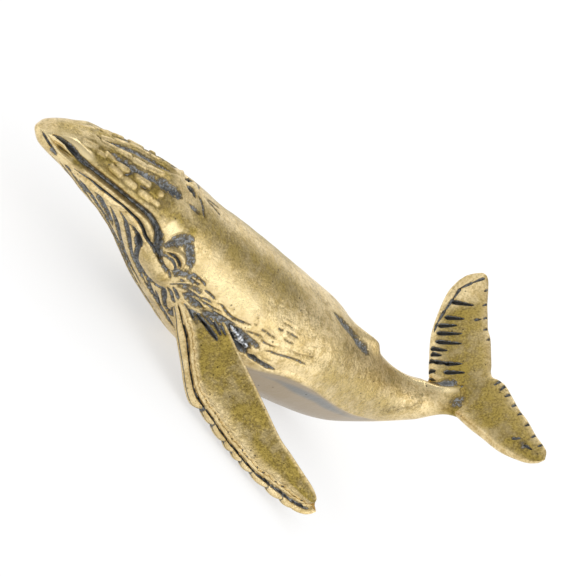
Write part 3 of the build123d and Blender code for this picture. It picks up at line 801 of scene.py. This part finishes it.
def flipper_surface():
    """Blade: a closed section of 23 corners carried out along the span.

    Each corner is (distance out, place along the chord, height over the flat top, patina, olive).
    The upper layer ends short of the lower one, and both are rounded off at the tip."""
    out = 1 - (1 - np.linspace(0, 1, flipper_rows)) ** 1.5
    low_out = flipper_start + out * (lower_end - flipper_start)
    top_out = flipper_start + out * (upper_end - flipper_start)
    rim = curve(rim_line, top_out)
    low = curve(bead_line, low_out)
    back = curve(back_line, top_out)
    low_back = curve(low_back_line, low_out)
    edge = curve(edge_line, low_out)
    gap = (low_out[:, None] - knob_stops) / knob_halves
    round_knob = (within(1 - gap**2) ** 0.6).max(1)
    strength = climb(low_out, 8, 2.5)
    swelling = (round_knob - 0.6) * strength
    notch = (1 - round_knob) ** 1.5 * strength
    nicks = climb(np.sin(top_out * 3.7 + 1.3 * np.sin(top_out * 1.9)), 0.55, 1) * climb(top_out, 9, 3)
    wobble = 0.09 * np.sin(top_out * 2.1) + 0.06 * np.sin(top_out * 5.3 + 1)
    wobble = wobble + 0.05 * np.sin(top_out * 9.1 + 2)
    width = np.maximum(back - rim, 0.02)
    pinch = np.clip(width / 4, 0.1, 1)
    blunt = np.clip((33.5 - low_out) / 0.8, 0.15, 1)
    groove_out = top_out * 0.6 + low_out * 0.4
    groove = rim * 0.86 + low * 0.14 - 0.02 + wobble * 0.8
    shelf_out = top_out * 0.3 + low_out * 0.7
    shelf = rim * 0.62 + low * 0.38 - 0.15 * swelling
    # The olive on the flat top is partly duller metal and partly a painted darker reflection
    corners = [
        # Upper layer, from the back edge over the flat top and two small ridges to the rim
        (top_out, back, -0.4, 0, 0.2),
        (top_out, back - 0.12 * pinch, -0.02, -0.6, 0),
        (top_out, back - 0.34 * pinch, 0.02, -0.4, 0.2),
        (top_out, back - 0.75 * pinch, -0.03, 0.1, 1),
        (top_out, back - width * 0.35, -0.02, 0, 1),
        (top_out, back - width * 0.6, -0.02, 0, 1),
        (top_out, rim + 1.45 * pinch, -0.02, -0.3 * strength, 1 - 0.7 * strength),
        (top_out, rim + 0.98 * pinch + wobble * 0.4, 0.02, -0.3 - 0.2 * strength, 0.3 * (1 - strength)),
        (top_out, rim + 0.66 * pinch + wobble, 0.09, -0.8, 0),
        (top_out, rim + 0.46 * pinch + wobble, -0.04 - 0.15 * nicks, 0.15 + 1.6 * nicks, 0.1),
        (top_out, rim + 0.22 * pinch + wobble * 0.6, 0.08 - 0.12 * nicks, -0.8 + nicks, 0),
        (top_out, rim - 0.02, -edge * 0.06, -0.5, 0),
        (top_out, rim - 0.05, -edge * 0.17, -0.2, 0),
        # Dark groove, knobbed lower layer and underside
        (groove_out, groove, -edge * 0.33, (1.7 + 4 * wobble) * blunt, 0),
        (shelf_out, shelf, -edge * 0.27, -0.3 + 2 * notch, 0),
        (low_out, rim * 0.2 + low * 0.8 - 0.36 * swelling, -edge * 0.31, -0.8 + 2.2 * notch, 0),
        (low_out, low - 0.03 - 0.5 * swelling, -edge * 0.45, -0.5 + 1.9 * notch, 0),
        (low_out, low + 0.1 - 0.35 * swelling, -edge * 0.58, 1 + 0.5 * notch, 0),
        (low_out, low - 0.45 * swelling, -edge * 0.7, -0.3 + 1.5 * notch, 0.1),
        (low_out, low + 0.16 - 0.3 * swelling, -edge * 0.88, 0.5 + notch, 0.2),
        (low_out, low + 0.8 * pinch, -edge * 0.99, 0.2, 0.4),
        (low_out, low + (low_back - low) * 0.42, -edge * 0.9, 0.3, 0.6),
        (low_out * 0.5 + top_out * 0.5, low_back - 0.35 * pinch, -0.85, 0.2, 0.5),
    ]
    table = np.stack([np.stack(np.broadcast_arrays(*corner), -1) for corner in corners], 1)
    end = np.sqrt(1 - climb(low_out, 32.2, 1.42) ** 2)
    middle = -0.5 * edge
    table[:, 12:, 2] = middle[:, None] + (table[:, 12:, 2] - middle[:, None]) * end[:, None]
    return closed_curve(table, flipper_columns)


flipper_table = flipper_surface()
tip_middle = flipper_table[-1].mean(0)
closing = np.sin(np.linspace(1, 0, 9)[1:-1] * math.pi / 2)[:, None, None]
tip_rows = tip_middle + (flipper_table[-1] - tip_middle) * closing
flipper_table = np.concatenate([flipper_table, tip_rows])
out, along_chord, over_top, flipper_patina, flipper_olive = np.moveaxis(flipper_table, -1, 0)


def beside(flat, start, end):
    """How far along a straight line each place of a flat blade is, and its distance from it."""
    run = np.subtract(end, start)
    t = within((flat - start) @ run / (run @ run))
    return t, np.linalg.norm(flat - start - t[..., None] * run, axis=-1)


def fold(start, end, width):
    """Nearness of the flipper's top to a straight fold between two places on it."""
    t, distance = beside(np.stack([out, along_chord], -1), start, end)
    gap = distance / (width * (0.5 + 2 * t * (1 - t)))
    return within(1 - gap**2) ** 2 * (over_top > -0.5)


# Folds in the blade's root, each with a low ridge in front of it
for start, end, width, sink, darkening in (
    ((0.8, -0.35), (4.1, 0.15), 0.52, 0.34, 2.47), ((0.9, 1.05), (3.8, 1), 0.42, 0.26, 1.95),
    ((-0.6, -0.6), (1.5, -0.3), 0.42, 0.25, 2.08), ((-1.4, 0.35), (1.8, 0.6), 0.6, 0.2, 1.43),
    ((1, 1.75), (4.3, 1.65), 0.4, 0.2, 1.56), ((-3.2, -1.1), (-0.4, -1.35), 0.4, 0.2, 1.69),
):
    near = fold(start, end, width)
    over_top = over_top - sink * near
    flipper_patina = np.maximum(flipper_patina, near * darkening)
    ridge_start, ridge_end = (start[0], start[1] - 0.45), (end[0], end[1] - 0.45)
    over_top = over_top + sink * 0.5 * fold(ridge_start, ridge_end, width)
# The shoulder darkens towards the root, and the flat top keeps slow waves of the wax
shoulder = climb(out, 1.8, -3) * (over_top > -0.5) * (along_chord > -1.6)
flipper_patina = np.maximum(flipper_patina, shoulder * 0.8)
waves = np.sin(out * 0.8 + along_chord * 0.6) * np.sin(along_chord * 1.3 + 1)
over_top = over_top + 0.03 * waves * (over_top > -0.3)
left_grid = flipper_root + out[..., None] * span + along_chord[..., None] * chord
left_grid = left_grid + over_top[..., None] * upper
left_grid[..., 2] = np.maximum(left_grid[..., 2], 0)
for side, name in ((1, "left_flipper"), (-1, "right_flipper")):
    grid = left_grid * np.array([1, side, 1])
    layers = {"patina": flipper_patina, "olive": flipper_olive}
    piece = build(f"{name}_blade", grid, attributes=layers, flip=side < 0)
    piece.data.materials.append(brass)
    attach(piece, whale)
    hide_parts(name)


# Silver solder of the flippers: a lumpy bright fillet at the bottom of the gap behind each one,
# where the blade was soldered into its pocket in the flank. It wasn't darkened with the brass.
def tube(path, radius, count):
    """Round bar of varying radius along a path of points: a circle square to the path."""
    forward = unit(np.gradient(path, axis=0))
    side = unit(np.cross(forward, np.array([0.3, 0.2, 1])))
    lift = np.cross(side, forward)
    angle = np.linspace(0, 2 * math.pi, count, endpoint=False)[None, :, None]
    circle = side[:, None] * np.cos(angle) + lift[:, None] * np.sin(angle)
    return path[:, None] + radius[:, None, None] * circle


steps = np.linspace(0, 1, 90)
solder_places = smooth([
    (0, 0.464, 0.462), (0.3, 0.481, 0.47), (0.6, 0.497, 0.478), (1, 0.528, 0.485),
], steps)
solder_sink, solder_thickness = 0.62, 0.56
solder_path = skin(*solder_places.T) - solder_sink * out_of_skin(*solder_places.T)
blob_radius = solder_thickness + 0.1 * np.sin(steps * 15) + 0.05 * np.sin(steps * 37 + 1)
solder_radius = blob_radius * np.sin(np.clip(steps, 0.02, 0.98) * math.pi) ** 0.45

silver = bpy.data.materials.new("silver_solder_dull")
tree = fresh_tree(silver)
spot = node("ShaderNodeTexCoord").outputs["Object"]
# Blobs 0.5 mm wide, as the solder froze
blobs = noise(0.5, 3)
shade = node("ShaderNodeMapRange", {"Value": blobs, "From Min": 0.42, "From Max": 0.56}).outputs["Result"]
bump = node("ShaderNodeBump", {"Height": blobs, "Strength": 0.7, "Distance": 0.15 * MM})
shader = node("ShaderNodeBsdfPrincipled", {
    "Base Color": mixed(shade, "#6C6F72", "#D5D8DC"), "Metallic": 1, "Roughness": 0.3,
    "Normal": bump.outputs["Normal"],
})
node("ShaderNodeOutputMaterial", {"Surface": shader.outputs[0]})

for side, name in ((1, "left_flipper_solder"), (-1, "right_flipper_solder")):
    grid = tube(solder_path, solder_radius, 28) * np.array([1, side, 1])
    piece = build(f"{name}_fillet", grid, flip=side < 0)
    piece.data.materials.append(silver)
    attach(piece, whale)
    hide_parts(name)


# Tail flukes: one brass casting with the last of the tail stock, set on the body's cut with a
# round tenon and soldered. The far blade has sharp cuts behind its rim; the near one is plain.
fluke_pitch, fluke_yaw = math.radians(66.7), math.radians(8.7)
fluke_up, fluke_out = 3.4, 4.33
fluke_middle = joint_middle + joint_up * fluke_up + joint_out * fluke_out
level_back = np.array([math.cos(fluke_yaw), math.sin(fluke_yaw), 0])
fluke_back = level_back * math.cos(fluke_pitch) + np.array([0, 0, math.sin(fluke_pitch)])
fluke_right = np.array([-math.sin(fluke_yaw), math.cos(fluke_yaw), 0])
fluke_face = np.cross(fluke_back, fluke_right)
# Front and rear outline of both blades, as (place across, place back along the chord)
front_line = [
    (-17.4, 8.4), (-17, 7.3), (-16, 6), (-13.4, 3.7), (-10, 1.9), (-8, 0.8), (-6, -0.1),
    (-4, -0.95), (-3, -1), (-1.5, -0.5), (0, -0.3), (1.2, -1), (2.2, -2.2), (4, -1.9),
    (6, -1.2), (8, -0.5), (10, 0.4), (13, 2.4), (15.8, 4.9), (17, 7), (17.4, 8.6),
]
rear_line = [
    (-17.4, 9.6), (-16, 10.2), (-13, 9.6), (-10, 9.2), (-8, 8.7), (-5, 8.3), (-3, 8),
    (-1.8, 7.4), (-1, 6.7), (0, 6.7), (1, 7.1), (2.4, 7.5), (5.6, 8.4), (7.4, 8.6), (9.4, 9.2),
    (11.7, 9.9), (14, 10.8), (16, 11.4), (17, 11), (17.4, 9.8),
]
fluke_rows, fluke_columns, fluke_half_span = 380, 170, 17.38


def fluke_surface():
    """Both blades: a flat closed section of 17 corners carried across the span.

    Each corner is (place across, place back along the chord, height over the middle plane,
    patina, olive)."""
    last = math.pi / 2 * 0.995
    across = fluke_half_span * np.sin(np.linspace(-last, last, fluke_rows)) / math.sin(last)
    front = curve(front_line, across)
    rear = curve(rear_line, across)
    thick = curve([
        (0, 0.98), (4, 0.95), (8, 0.88), (12, 0.74), (15.5, 0.55), (17.4, 0.3),
    ], np.abs(across))
    width = rear - front
    # The far tip is rubbed bright cream and kept clear of olive: a painted highlight. The olive on the
    # faces is partly duller metal and partly painted darker reflection
    far_tip_highlight = climb(across, 11.8, 2.4)
    corners = []
    for along, high, worn, olive_amount in (
        (0, 0, -0.5, 0), (0.012, 0.5, -0.8, 0), (0.045, 0.88, -0.9, 0), (0.1, 1, -0.6, 0),
        (0.19, 0.86, 0, 0.7), (0.34, 0.74, 0, 1), (0.52, 0.64, 0, 1), (0.72, 0.52, 0, 0.9),
        (0.88, 0.4, 0, 0.7), (0.97, 0.26, -0.3, 0.2), (1, 0, 0, 0.2), (0.985, -0.2, 0.1, 0.5),
        (0.75, -0.5, 0, 0.8), (0.45, -0.75, 0, 0.8), (0.15, -0.95, 0, 0.7),
        (0.05, -0.85, -0.3, 0.3), (0.012, -0.5, -0.5, 0),
    ):
        corner = (across, front + along * width, high * thick, worn - 1.2 * far_tip_highlight, olive_amount * (1 - far_tip_highlight))
        corners.append(np.stack(np.broadcast_arrays(*corner), -1))
    return closed_curve(np.stack(corners, 1), fluke_columns)


fluke_table = fluke_surface()
blade_across, blade_back, blade_high, fluke_patina, fluke_olive = np.moveaxis(fluke_table, -1, 0)
top_side = within(blade_high / 0.12)


def score(start, end, width, sink, dark):
    """A cut across a blade's upper face, from one place to another.

    It is widest just after its start and narrows to the end as (1 - t)^0.6. One side of it has a
    bright burr that the tool pushed up."""
    flat = np.stack([blade_across, blade_back], -1)
    t, distance = beside(flat, start, end)
    reach = width * (0.22 + 0.86 * np.sqrt(within(t / 0.15)) * (1 - t) ** 0.6)
    near = within(1 - (distance / reach) ** 2) ** 2 * top_side
    run = np.subtract(end, start)
    aside = (flat - start) @ (run[1], -run[0]) / np.linalg.norm(run)
    burr = hump(aside, width * -1.05, 0.16) * within(6 * t * (1 - t)) * (1 - t) * top_side
    blade_high[...] += 0.2 * sink * burr - sink * near
    fluke_patina[...] -= 1.1 * burr * (fluke_patina < 0.2)
    np.maximum(fluke_patina, dark * within(near * 1.8), out=fluke_patina)


# Cuts behind the far blade's rim
for start, end in (
    ((13.9, 5), (12.1, 7.9)), ((11.6, 3.2), (10.3, 5.8)), ((10.5, 1.8), (9.6, 4.4)),
    ((9.3, 1.2), (7.9, 4.6)), ((7.9, 0.6), (6.2, 4.1)), ((7, -0.5), (5.8, 1.7)),
    ((6, -0.8), (5.3, 0.6)), ((5, -1.4), (4.3, -0.3)), ((3.7, 0.7), (2.8, 3)),
    ((3.3, -2), (2.9, -1)), ((2.3, 0.2), (1.1, 3)), ((2.2, -2.6), (1.7, -1.6)),
    ((4.5, -0.7), (3.6, 1.2)),
):
    score(start, end, 0.54, 0.4, 1.9)
# A line round the middle's left side, the groove that follows the far blade's rim, and short cuts
# along the rear rims
for start, end in [((2.1, -2.2), (1, -1.5)), ((1, -1.5), (-0.3, -0.1)), ((-0.3, -0.1), (-1.2, 2))]:
    score(start, end, 0.55, 0.25, 1.3)
rim_groove = [(16, 11), (15.9, 9), (15.65, 7), (14.3, 5.4), (12.8, 3.6), (11, 1.8), (9.7, 0.9)]
for start, end in zip(rim_groove[:-1], rim_groove[1:]):
    score(start, end, 0.34, 0.22, 1.2)
for start, end in (
    ((14, 11.4), (13.9, 10.2)), ((11.7, 10.4), (11.5, 9.2)), ((9.4, 9.6), (9.2, 8.6)),
    ((7.4, 9), (7.3, 8)), ((5.6, 8.8), (5.4, 7.9)), ((9.5, 7.3), (9.3, 8.2)),
    ((-2, 8.2), (-2.6, 6.6)), ((-3, 8.6), (-3.8, 7)), ((-4.9, 8.7), (-5.1, 7.4)),
    ((-6.9, 8.9), (-7.1, 7.8)), ((-8.6, 9.2), (-8.8, 8.2)), ((-10.8, 9.6), (-11, 8.6)),
    ((-13, 9.9), (-13.2, 8.9)), ((-14.9, 10.3), (-15, 9.3)), ((-12.4, 6.2), (-12.8, 7.4)),
    ((-14.1, 7.6), (-15.2, 8.3)),
):
    score(start, end, 0.36, 0.3, 1.4)
# Ridge along the middle that carries the tail stock's back on to the notch
crest_middle = curve([
    (-3, 0.9), (-2.45, 0.8), (-0.32, -0.61), (1.64, -1.11), (3.64, -1.48), (6.4, -1.22), (12, -1.2),
], blade_back)
crest = hump(blade_across, crest_middle, 1.3) * climb(blade_back, 6.8, -6) * climb(blade_back, 0.4, 3)
blade_high = blade_high + 0.75 * crest * top_side
# The blades sink under the tail stock where it runs into them, and the far tip curls up
front_here = curve(front_line, blade_across)
foot_width = np.where(blade_across < 0, 5.8, 2.9)
buried = climb(np.abs(blade_across), foot_width, -1.6) * climb(blade_back, front_here + 3, -2.4)
blade_high = blade_high * (1 - 0.8 * buried) + 0.5 * climb(blade_across, 12, 5) ** 2
# Painted shade in the hollow at the near blade's foot, and a darker patch near the near blade's tip
blade_hollow_shade = hump(blade_across, -3.1, 0.75) * hump(blade_back, 0.75, 1.1)
near_tip_patch = hump(blade_across, -14.2, 1.3) * hump(blade_back, 7.3, 0.9)
for darkening, dark in ((blade_hollow_shade, 0.85), (near_tip_patch, 0.55)):
    fluke_patina = np.maximum(fluke_patina, dark * darkening * top_side)
fluke_grid = fluke_middle + blade_across[..., None] * fluke_right + blade_back[..., None] * fluke_back
fluke_grid = fluke_grid + blade_high[..., None] * fluke_face


# Place round a closed ring: 0 on the back, and down to the belly 1 on the left and -1 on the right
around = np.concatenate([left_turn, -left_turn[-2:0:-1]])


def ridged_skin(share, turn):
    """Body's skin beyond the cut, with the ridge that runs along the tail stock's back."""
    points = skin(share, turn)
    rise = ridge_rise * hump(points[..., 1:2], 0, ridge_width) * (turn < 0.5)[:, None]
    return points + rise * out_of_skin(share, turn)


def stock_surface(offset, count):
    """Tail stock beyond the cut: from the body's own section it bends and spreads into the blades.

    Each line is a cubic with four handles: it leaves along the skin and arrives along the chord
    just below the blade's face, or at the sides on the leading edges, 6 and 3.3 mm out. The ridge
    on top dips and runs on to 1.4 mm left of the middle."""
    start_share, near = share_at_cut(left_turn, offset), 0.004
    ahead = unit(skin(start_share + near, left_turn) - skin(start_share - near, left_turn))
    left = np.stack([ridged_skin(start_share, left_turn), ahead])
    start, ahead = whole(left, left * mirror)
    angle = math.pi * around[:, None]
    side, rise = -np.sin(angle), np.cos(angle)
    on_top = np.maximum(rise, 0) ** 2
    one = start + ahead * (2.6 + 0.6 * on_top) - 0.5 * on_top * joint_up
    one[:, 1] *= 0.85
    spread = np.where(side < 0, 6, 3.3)
    inner, outer = (smooth(front_line, (reach * side)[:, 0]) for reach in (0.6 * spread, spread))
    two = (
        fluke_middle
        + ((inner - 0.7) * (1 - rise**2) + np.where(rise > 0, -0.5, 0.4) * rise**2) * fluke_back
        + (0.6 * spread * side - 1.5 * on_top) * fluke_right
        + np.where(rise > 0, 1.1, 1.9) * np.sign(rise) * np.abs(rise) ** 0.6 * fluke_face
    )
    finish = (
        fluke_middle + ((outer + 0.25) * (1 - rise**2) + 4.2 * rise**2) * fluke_back
        + (spread * side - 1.4 * on_top) * fluke_right
        + (0.62 - 0.35 * on_top) * np.sign(rise) * np.abs(rise) ** 0.5 * fluke_face
    )
    t = np.linspace(0, 1, count)[:, None, None]
    return start * (1 - t) ** 3 + 3 * one * t * (1 - t) ** 2 + 3 * two * t**2 * (1 - t) + finish * t**3


solder_gap, stock_rows = 0.3, 90
stock_grid = stock_surface(solder_gap, stock_rows)
along_stock = np.broadcast_to(np.linspace(0, 1, stock_rows)[:, None], stock_grid.shape[:2])
# Painted shade: a dark hollow on the near side of the ridge, and a dark line beyond it at the far
# blade's foot, where the ridge shades it. The olive towards the blades is partly duller metal and
# partly painted darker reflection
stock_hollow_shade = 0.8 * hump(around, 0.2, 0.1) * hump(along_stock, 0.76, 0.17)
far_foot_shade = 1.5 * hump(around, -0.15, 0.08) * hump(along_stock, 0.6, 0.28)
ridge_line = hump(around, 0.015, 0.05) * climb(along_stock, 0.86, -0.4)
stock_layers = {
    "patina": np.maximum(stock_hollow_shade, far_foot_shade) - 0.8 * ridge_line,
    "olive": within(along_stock * 2 - 0.6) * (1 - 0.8 * ridge_line),
}
stock = build("tail_stock_end", stock_grid, attributes=stock_layers, normals=grid_normals(stock_grid))
fluke_layers = {"patina": fluke_patina, "olive": fluke_olive}
blades = build("tail_fluke_blades", fluke_grid, attributes=fluke_layers, flip=True)
for piece in (stock, blades):
    piece.data.materials.append(brass)
    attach(piece, whale)
    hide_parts("tail_flukes")


# Solder of the tail joint: the thin seam between the body's cut and the flukes' casting, silver
# solder 0.3 mm thick that ran in round the tenon. It was dressed flush with the skin and darkened
# with the brass, so that only its edge shows.
ring_shares = np.stack([share_at_cut(left_turn, offset) for offset in (0, solder_gap / 2, solder_gap)])
ring_grid, ring_normals = (
    whole(left, left * mirror)
    for left in (ridged_skin(ring_shares, left_turn), out_of_skin(ring_shares, left_turn))
)
ridge_shine = within(ridge_rise / 0.3 * hump(stock_grid[0, :, 1], 0, ridge_width) - 0.2)
ring_layers = {"patina": np.tile(-0.8 * ridge_shine * (np.abs(around) < 0.5), (3, 1))}
ring_piece = build("tail_joint_solder_ring", ring_grid, attributes=ring_layers, normals=ring_normals)
ring_piece.data.materials.append(brass)
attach(ring_piece, whale)
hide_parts("tail_flukes_solder")


# Floor: a sheet of white paper that the whale lies on. To the camera and in reflections it glows
# by itself for more than half, so it shows nearly white and keeps a soft shadow. It lies a tenth
# of a millimetre under the whale; its sizes are in metres.
reach, under = 3, -0.0001
floor_mesh = bpy.data.meshes.new("floor")
floor_mesh.from_pydata(
    [(-reach, -reach, under), (reach, -reach, under), (reach, reach, under), (-reach, reach, under)],
    [], [(0, 1, 2, 3)],
)
floor = bpy.data.objects.new("floor", floor_mesh)
bpy.context.scene.collection.objects.link(floor)
paper = bpy.data.materials.new("white_paper")
tree = fresh_tree(paper)
matte = node("ShaderNodeBsdfDiffuse", {"Color": tone("#FDFDFD")})
bright = node("ShaderNodeEmission", {"Color": tone("#FFFFFF"), "Strength": 1})
rays = node("ShaderNodeLightPath").outputs
seen = maths("MAXIMUM", rays["Is Camera Ray"], rays["Is Glossy Ray"])
seen = maths("MULTIPLY", maths("MAXIMUM", seen, rays["Is Transmission Ray"]), 0.6)
blend = node("ShaderNodeMixShader", {0: seen, 1: matte.outputs[0], 2: bright.outputs[0]})
node("ShaderNodeOutputMaterial", {"Surface": blend.outputs[0]})
floor.data.materials.append(paper)


# Lamps: three soft boxes that face the whale. The key lamp stands on its left towards the tail,
# the rim lamp on its right and the head lamp ahead of the snout.
lamp_target = Vector((0, 0, 12))


def soft_box(name, azimuth, elevation, distance, size, strength):
    """Square lamp, with its size and distance in millimetres. A strength of 1 is white paper's."""
    lamp = bpy.data.lights.new(name, "AREA")
    lamp.size = size * MM
    lamp.energy = strength * math.pi * (size * MM) ** 2
    a, e = math.radians(azimuth), math.radians(elevation)
    way = Vector((math.cos(a) * math.cos(e), math.sin(a) * math.cos(e), math.sin(e)))
    turned = way.to_track_quat("Z", "Y").to_matrix().to_4x4()
    turned.translation = (lamp_target + way * distance) * MM
    box = bpy.data.objects.new(name, lamp)
    box.matrix_world = turned
    bpy.context.scene.collection.objects.link(box)


soft_box("key_lamp", -52, 30, 600, 460, 1.35)
soft_box("rim_lamp", 72, 38, 650, 380, 1.4)
soft_box("head_lamp", 155, 20, 650, 300, 1.1)


# World: an even white studio. Its reflections in the metal grow darker towards the top, and the
# camera sees it as plain white.
world = bpy.data.worlds.new("studio")
bpy.context.scene.world = world
tree = fresh_tree(world)
rays = node("ShaderNodeLightPath").outputs
way = node("ShaderNodeSeparateXYZ", {"Vector": node("ShaderNodeTexCoord").outputs["Generated"]})
studio = {"Value": way.outputs["Z"], "From Min": 0.1, "From Max": 0.9, "To Min": 0.92, "To Max": 0.52}
reflected = node("ShaderNodeMapRange", studio).outputs["Result"]
plain_light, glossy, seen = (
    node("ShaderNodeBackground", {"Color": tone("#FFFFFF"), "Strength": strength}).outputs[0]
    for strength in (0.95, reflected, 1)
)
unseen = node("ShaderNodeMixShader", {0: rays["Is Glossy Ray"], 1: plain_light, 2: glossy})
shown = node("ShaderNodeMixShader", {0: rays["Is Camera Ray"], 1: unseen.outputs[0], 2: seen})
node("ShaderNodeOutputWorld", {"Surface": shown.outputs[0]})
bpy.context.scene.view_settings.view_transform = "Standard"
